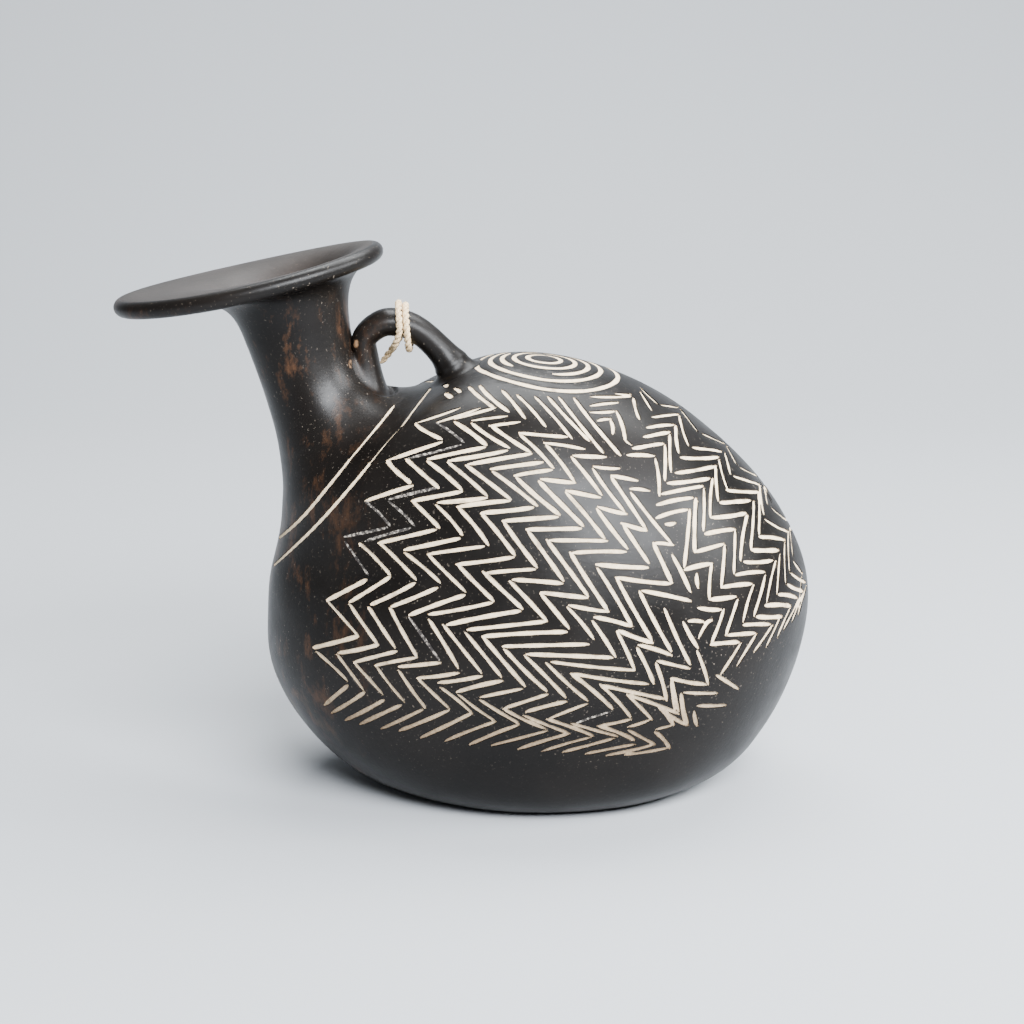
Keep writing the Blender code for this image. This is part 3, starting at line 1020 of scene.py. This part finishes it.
pieces.append((skin_points, flat_faces, filled_with))

# The dull clay of the plate's upper face
DULL_DARK = (0.014, 0.0105, 0.0085)
DULL_PALE = (0.024, 0.0185, 0.0155)
DULL_SPECKS = (0.20, 0.14, 0.10)


def dull_clay_material():
    """Clay that is smoothed but not burnished, with finer clouds and brown specks."""
    material, tree, shader = new_material("dull clay")
    place = place_of(tree)
    grain, specks = grit_in(tree, CLAY_GRIT)
    clouds = mapped(tree, noise_at(tree, place, 60.0, 6.0, 0.65), 0.35, 0.65)
    colour = mixed(tree, clouds, DULL_DARK, DULL_PALE)
    colour = mixed(tree, product(tree, specks, 0.20), colour, DULL_SPECKS)
    tree.links.new(colour, shader.inputs["Base Color"])
    shader.inputs["Roughness"].default_value = 0.62
    shader.inputs["IOR"].default_value = 1.40
    tree.links.new(bumped(tree, grain, 0.35, 0.0003), shader.inputs["Normal"])
    return material


# Corners that are closer than this are made one
WELD = 2e-7


def mesh_of(name, parts, sharp):
    """One welded mesh from parts that each hold points, faces and the faces' materials. Edges of
    more than this many degrees stay sharp."""
    corners = []
    faces = []
    slots = []
    first = 0
    for points, polygons, materials in parts:
        corners.append(points)
        faces.extend(tuple(int(number) + first for number in polygon) for polygon in polygons)
        slots.extend(materials)
        first += len(points)
    corners = np.concatenate(corners)
    places = np.round(corners / WELD).astype(np.int64)
    keys, index = np.unique(places, axis=0, return_inverse=True)
    index = index.reshape(-1)
    kept = np.zeros((len(keys), 3))
    kept[index] = corners
    welded = []
    welded_slots = []
    for face, slot in zip(faces, slots):
        face = tuple(dict.fromkeys(int(index[number]) for number in face))
        if len(face) > 2:
            welded.append(face)
            welded_slots.append(int(slot))
    mesh = bpy.data.meshes.new(name)
    mesh.from_pydata(kept.tolist(), [], welded)
    mesh.polygons.foreach_set("material_index", welded_slots)
    mesh.shade_smooth()
    mesh.set_sharp_from_angle(angle=math.radians(sharp))
    return mesh


vessel_mesh = mesh_of("flask", pieces, 32)
vessel = bpy.data.objects.new("flask", vessel_mesh)
bpy.context.scene.collection.objects.link(vessel)
for material in (clay_material(), paste_material(), dusty_material(), dull_clay_material()):
    vessel_mesh.materials.append(material)
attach(vessel, "root")
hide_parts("vessel")

# The twine. Two-ply jute string, wound twice round the loop handle, knotted behind it and left
# with a short frayed end. It lies close over the top of the strap and hangs a little slack below.
TWINE_DIAMETER = 0.0019
TWINE_GAP = 0.0005
TURN_GAP = 0.0005
TWINE_SLACK = 0.0018
TWINE_LEAN = 0.0030
TWINE_AT = 0.58
KNOT_SIZE = 0.0046
TAIL_DROP = 0.0130
TAIL_DRIFT = 0.0085
PLY_PITCH = 0.0046
PLY_SHARE = 0.58
PLY_STEP = 0.0003
# How much fuller the loose plies are than the smooth round cord of the part
SPREAD = 1.3
TAIL_TAPER = 0.7
FIBRES = 150
FIBRE_LENGTHS = (0.0006, 0.0016)
FIBRE_PARTS = 5
FIBRE_ROOT = 0.00004
FIBRE_TIP = 0.000015
# The ends of the two turns, short of the knot by this angle
TURN_END = 0.2
# Crossed with the way in which a line sets out, this gives a first way across it
SET_OUT = (0.3, 0.5, 0.8)

coarse_middles, coarse_shares = handle_line(3)
twine_number = round(TWINE_AT * (len(coarse_middles) - 1))
twine_middle = coarse_middles[twine_number]
twine_way = unit(coarse_middles[twine_number + 1] - coarse_middles[twine_number - 1])
half_high = HANDLE_THICKNESS * coarse_shares[twine_number] / 2
half_wide = handle_width(twine_middle[0]) * coarse_shares[twine_number] / 2
knot = twine_middle + np.array([0, half_wide + TWINE_GAP + KNOT_SIZE / 2, -half_high / 2])
reach = TWINE_GAP + TWINE_DIAMETER / 2
turns_line = [knot - np.array([KNOT_SIZE / 4, 0, 0])]
for angle in np.linspace(TURN_END, 4 * math.pi - TURN_END, 48):
    hanging = min(math.sin(angle), 0) ** 2
    along = (angle / (2 * math.pi) - 1) * (TWINE_DIAMETER + TURN_GAP)
    lean = TWINE_LEAN * hanging if angle < 2 * math.pi else 0
    y = (half_wide + reach) * math.cos(angle)
    z = along * twine_way[2] + (half_high + reach) * math.sin(angle)
    z = z / twine_way[0] - TWINE_SLACK * hanging
    turns_line.append(twine_middle + np.array([along - lean, y, z]))
turns_line.append(knot + np.array([KNOT_SIZE / 4, 0, 0]))
tail_line = []
for share in (0, 0.25, 0.5, 0.75, 1):
    tail_line.append(knot + np.array([-TAIL_DRIFT * share, 0, -TAIL_DROP * share**0.8]))
knot_angles = np.linspace(0, 2 * math.pi, 40)
knot_line = knot + np.stack(
    [
        (np.sin(knot_angles) + 2 * np.sin(2 * knot_angles)) * KNOT_SIZE * 0.10,
        (np.cos(knot_angles) - 2 * np.cos(2 * knot_angles)) * KNOT_SIZE * 0.09,
        np.sin(3 * knot_angles) * KNOT_SIZE * 0.18,
    ],
    axis=-1,
)


def ways_across(line):
    """Two ways across a line at each of its places, kept from twisting round it."""
    ways = unit(np.gradient(line, axis=0))
    side_way = unit(np.cross(ways[0], SET_OUT))
    pairs = []
    for way in ways:
        side_way = unit(side_way - way * (side_way @ way))
        pairs.append((side_way, np.cross(way, side_way)))
    return pairs


def tube(line, sizes, around):
    """Rings of a tube along a line."""
    rings = []
    angles = np.arange(around) * 2 * math.pi / around
    for place, size, (side_way, up_way) in zip(line, sizes, ways_across(line)):
        ring = np.cos(angles)[:, None] * side_way + np.sin(angles)[:, None] * up_way
        rings.append(place + ring * size)
    return np.array(rings)


twine_pieces = []


def add_tube(rings):
    """Keeps a tube, closed at both ends."""
    count = rings.shape[1]
    last = (len(rings) - 1) * count
    faces = [tuple(quad) for quad in quads_between(rings)]
    faces.append(tuple(reversed(range(count))))
    faces.append(tuple(range(last, last + count)))
    twine_pieces.append((rings.reshape(-1, 3), faces, np.zeros(len(faces))))


def plies(line, end_share=1.0):
    """Keeps two strands twisted round each other along a line."""
    line = spline_through(line)(np.linspace(0, len(line) - 1, (len(line) - 1) * 6 + 1))
    line, even = evenly(line, max(8, round(lengths_along(line)[-1] / PLY_STEP)))
    radius = TWINE_DIAMETER / 2 * SPREAD
    taper = np.interp(even / even[-1], (0, 0.8, 1), (1, 1, end_share))
    strands = [[], []]
    for place, along, share, (side_way, up_way) in zip(line, even, taper, ways_across(line)):
        for strand in (0, 1):
            angle = 2 * math.pi * along / PLY_PITCH + strand * math.pi
            shift = side_way * math.cos(angle) + up_way * math.sin(angle)
            strands[strand].append(place + shift * radius * (1 - PLY_SHARE) * share)
    for strand in strands:
        add_tube(tube(np.array(strand), radius * PLY_SHARE * taper, 8))
    return line


twine_path = np.concatenate([plies(turns_line), plies(tail_line, TAIL_TAPER)])
plies(knot_line)
for _ in range(FIBRES):
    start = twine_path[chance.integers(len(twine_path))]
    away = unit(chance.normal(0, 1, 3))
    length = chance.uniform(*FIBRE_LENGTHS)
    line = [start + away * TWINE_DIAMETER / 2 * 0.8]
    for _ in range(FIBRE_PARTS):
        away = unit(away + chance.normal(0, 0.25, 3))
        line.append(line[-1] + away * length / FIBRE_PARTS)
    add_tube(tube(np.array(line), np.linspace(FIBRE_ROOT, FIBRE_TIP, len(line)), 3))

# Jute fibres run pale and brown side by side, and the low end of the string is darkened with
# painted shade, where it hangs in shadow behind the handle
JUTE_BROWN = (0.38, 0.25, 0.12)
JUTE_PALE = (0.84, 0.65, 0.40)
JUTE_PAINTED_SHADE = (0.12, 0.075, 0.04)
PAINTED_SHADE_BELOW_Z = (0.1485, 0.1400)


def jute_material():
    material, tree, shader = new_material("jute")
    place = place_of(tree)
    streaks = mapped(tree, noise_at(tree, place, 2600.0, 2.0), 0.35, 0.65)
    colour = mixed(tree, streaks, JUTE_BROWN, JUTE_PALE)
    # Painted shade: the string darkens towards its low end, which hangs behind the handle
    painted_shade = mapped(tree, axes_of(tree, place)["Z"], *PAINTED_SHADE_BELOW_Z, 0.0, 0.8)
    tree.links.new(mixed(tree, painted_shade, colour, JUTE_PAINTED_SHADE), shader.inputs["Base Color"])
    shader.inputs["Roughness"].default_value = 0.85
    return material


twine_mesh = mesh_of("twine", twine_pieces, 60)
twine = bpy.data.objects.new("twine", twine_mesh)
bpy.context.scene.collection.objects.link(twine)
twine_mesh.materials.append(jute_material())
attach(twine, "root")
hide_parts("twine")

# The setting. The flask stands on a sheet of pale matt paper that bends up behind it, in soft
# light from in front, above and the right, and it is seen from the photo's viewpoint.
FLOOR_LEVEL = 0.0
SWEEP_BACK = 0.6
SWEEP_FRONT = -1.6
SWEEP_HALF = 2.2
SWEEP_BEND = 0.9
SWEEP_HIGH = 1.8
PAPER_COLOUR = (0.352, 0.366, 0.384, 1)
WORLD_COLOUR = (0.80, 0.84, 0.88, 1)
WORLD_STRENGTH = 0.24
LIT_PLACE = (-0.01, 0, 0.09)
PAPER_BEHIND = (0, 1.7, 0.15)
# Each light's name, place, aim, size, watts and colour
LIGHTS = (
    ("front box", (0.42, -0.95, 0.86), LIT_PLACE, (1.0, 0.55), 86, (0.93, 0.96, 1.0)),
    ("top box", (0.14, 0.40, 1.10), LIT_PLACE, (1.1, 0.6), 34, (0.95, 0.98, 1.0)),
    ("side box", (1.05, -0.25, 0.75), LIT_PLACE, (0.5, 0.5), 28, (0.95, 0.98, 1.0)),
    ("wash", (0.0, 0.6, 1.2), PAPER_BEHIND, (2.0, 0.3), 6, (0.97, 0.98, 1.0)),
)

profile = [(SWEEP_FRONT, FLOOR_LEVEL)]
for angle in np.linspace(0, math.pi / 2, 17):
    forward = SWEEP_BEND * math.sin(angle)
    profile.append((SWEEP_BACK + forward, FLOOR_LEVEL + SWEEP_BEND * (1 - math.cos(angle))))
profile.append((SWEEP_BACK + SWEEP_BEND, SWEEP_HIGH))
sweep_corners = [(x, y, z) for y, z in profile for x in (-SWEEP_HALF, SWEEP_HALF)]
sweep_faces = [(2 * n, 2 * n + 1, 2 * n + 3, 2 * n + 2) for n in range(len(profile) - 1)]
sweep_mesh = bpy.data.meshes.new("sweep")
sweep_mesh.from_pydata(sweep_corners, [], sweep_faces)
sweep_mesh.shade_smooth()
sweep = bpy.data.objects.new("sweep", sweep_mesh)
bpy.context.scene.collection.objects.link(sweep)
paper, _, paper_shader = new_material("pale paper")
paper_shader.inputs["Base Color"].default_value = PAPER_COLOUR
paper_shader.inputs["Roughness"].default_value = 0.9
sweep_mesh.materials.append(paper)


def area_light(name, place, target, size, power, colour):
    light = bpy.data.lights.new(name, "AREA")
    light.shape = "RECTANGLE"
    light.size, light.size_y = size
    light.energy = power
    light.color = colour
    lamp = bpy.data.objects.new(name, light)
    bpy.context.scene.collection.objects.link(lamp)
    lamp.location = place
    lamp.rotation_euler = (Vector(target) - Vector(place)).to_track_quat("-Z", "Y").to_euler()
    return lamp


lights = [area_light(*light) for light in LIGHTS]
world = bpy.data.worlds.new("studio")
world.use_nodes = True
background = world.node_tree.nodes["Background"]
background.inputs["Color"].default_value = WORLD_COLOUR
background.inputs["Strength"].default_value = WORLD_STRENGTH
bpy.context.scene.world = world

camera_data = bpy.data.cameras.new("photo view")
camera_data.lens = LENS
camera_data.sensor_width = SENSOR
camera = bpy.data.objects.new("photo view", camera_data)
bpy.context.scene.collection.objects.link(camera)
camera.location = view_from
camera.rotation_euler = Vector(-view_back).to_track_quat("-Z", "Y").to_euler()
bpy.context.scene.camera = camera
